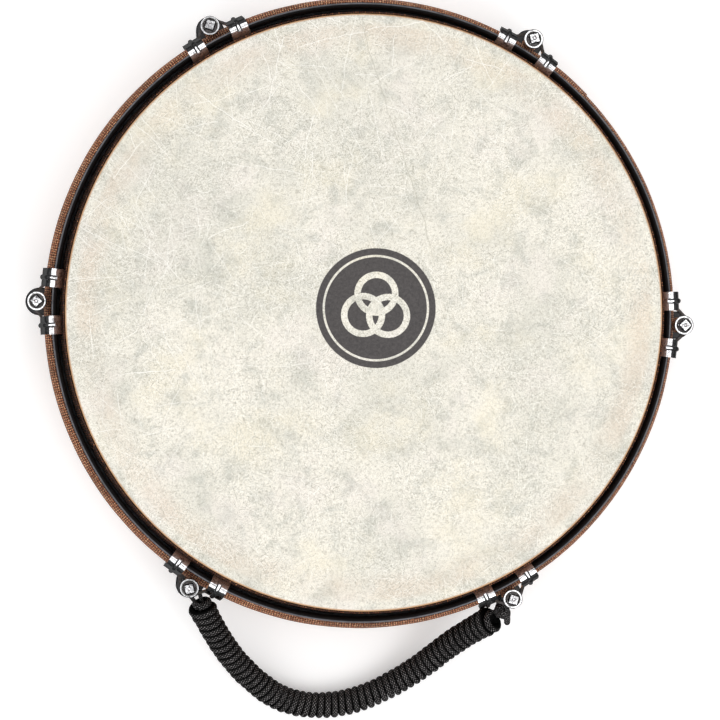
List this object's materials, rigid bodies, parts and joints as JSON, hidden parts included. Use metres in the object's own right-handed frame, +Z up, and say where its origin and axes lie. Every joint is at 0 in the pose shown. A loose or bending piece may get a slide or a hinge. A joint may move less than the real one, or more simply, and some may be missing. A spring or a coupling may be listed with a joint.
{
  "type": "bodhran",
  "caption": "Shallow frame drum with a tuned head, black tension hoop on chrome claws and rods, woven shell wrap, inner crossbar and a wound cord handle.",
  "frame": {"origin": "centre of the back rim, on the surface the drum lies on", "axes": "+Z up along the drum's axis, towards the head; -Y towards the handle"},
  "size_m": [0.4096, 0.4452, 0.115],
  "materials": {
    "head_film": "mottled cream film with pale and grey fibres",
    "frame_wood": "clear lacquered birch ply",
    "crossbar_wood": "oiled hardwood",
    "wrap_cloth": "coppery brown woven cloth",
    "collar_cloth": "dark brown woven cloth",
    "hoop_black": "satin black paint",
    "flesh_hoop_metal": "plain mill finish",
    "chrome": "polished",
    "casing_black": "satin black powder coat",
    "nut_brass": "turned",
    "gasket_rubber": "matt",
    "screw_steel": "zinc plated",
    "cord_black": "braided black cord"
  },
  "bodies": {
    "shell": {"head_membrane": "head_film", "frame_hoop": "frame_wood", "outer_band": "frame_wood", "shoulder_ring": "frame_wood", "shell_wrap": "wrap_cloth", "lug_gaskets": "gasket_rubber", "lug_screws": "screw_steel", "lug_screw_washers": "screw_steel", "crossbar_long": "crossbar_wood", "crossbar_short": "crossbar_wood", "crossbar_screws": "screw_steel", "handle_tie_left": "cord_black", "handle_tie_right": "cord_black", "lug_casing_1": "casing_black", "lug_casing_2": "casing_black", "lug_casing_3": "casing_black", "lug_casing_4": "casing_black", "lug_casing_5": "casing_black", "lug_casing_6": "casing_black", "swivel_nut_1": "nut_brass", "swivel_nut_2": "nut_brass", "swivel_nut_3": "nut_brass", "swivel_nut_4": "nut_brass", "swivel_nut_5": "nut_brass", "swivel_nut_6": "nut_brass"},
    "tuning_hoop": {"flesh_hoop": "flesh_hoop_metal", "tension_hoop": "hoop_black", "collar_cloth": "collar_cloth", "claw_1": "chrome", "claw_2": "chrome", "claw_3": "chrome", "claw_4": "chrome", "claw_5": "chrome", "claw_6": "chrome", "rod_washer_1": "screw_steel", "rod_washer_2": "screw_steel", "rod_washer_3": "screw_steel", "rod_washer_4": "screw_steel", "rod_washer_5": "screw_steel", "rod_washer_6": "screw_steel"},
    "rod_1": {"tension_rod_1": "chrome"},
    "rod_2": {"tension_rod_2": "chrome"},
    "rod_3": {"tension_rod_3": "chrome"},
    "rod_4": {"tension_rod_4": "chrome"},
    "rod_5": {"tension_rod_5": "chrome"},
    "rod_6": {"tension_rod_6": "chrome"},
    "handle": {"handle_core": "cord_black", "handle_winding": "cord_black"}
  },
  "joints": [
    {"name": "hoop_tuning", "type": "slide", "parent": "shell", "child": "tuning_hoop", "axis": [0, 0, -1], "range_m": [0, 0.0035]},
    {"name": "rod_turn_1", "type": "hinge", "parent": "tuning_hoop", "child": "rod_1", "pos_m": [0.1963, 0, 0.05], "axis": [0, 0, 1], "range_deg": [-1200, 0]},
    {"name": "rod_turn_2", "type": "hinge", "parent": "tuning_hoop", "child": "rod_2", "pos_m": [0.09815, 0.17, 0.05], "axis": [0, 0, 1], "range_deg": [-1200, 0]},
    {"name": "rod_turn_3", "type": "hinge", "parent": "tuning_hoop", "child": "rod_3", "pos_m": [-0.09815, 0.17, 0.05], "axis": [0, 0, 1], "range_deg": [-1200, 0]},
    {"name": "rod_turn_4", "type": "hinge", "parent": "tuning_hoop", "child": "rod_4", "pos_m": [-0.1963, 0, 0.05], "axis": [0, 0, 1], "range_deg": [-1200, 0]},
    {"name": "rod_turn_5", "type": "hinge", "parent": "tuning_hoop", "child": "rod_5", "pos_m": [-0.09815, -0.17, 0.05], "axis": [0, 0, 1], "range_deg": [-1200, 0]},
    {"name": "rod_turn_6", "type": "hinge", "parent": "tuning_hoop", "child": "rod_6", "pos_m": [0.09815, -0.17, 0.05], "axis": [0, 0, 1], "range_deg": [-1200, 0]},
    {"name": "handle_swing", "type": "hinge", "parent": "shell", "child": "handle", "pos_m": [0, -0.185, 0.05], "axis": [-1, 0, 0], "range_deg": [0, 105]}
  ],
  "couplings": [
    {"joint": "rod_turn_1", "follows": "hoop_tuning", "rad_per_m": -5936.9},
    {"joint": "rod_turn_2", "follows": "hoop_tuning", "rad_per_m": -5936.9},
    {"joint": "rod_turn_3", "follows": "hoop_tuning", "rad_per_m": -5936.9},
    {"joint": "rod_turn_4", "follows": "hoop_tuning", "rad_per_m": -5936.9},
    {"joint": "rod_turn_5", "follows": "hoop_tuning", "rad_per_m": -5936.9},
    {"joint": "rod_turn_6", "follows": "hoop_tuning", "rad_per_m": -5936.9}
  ]
}
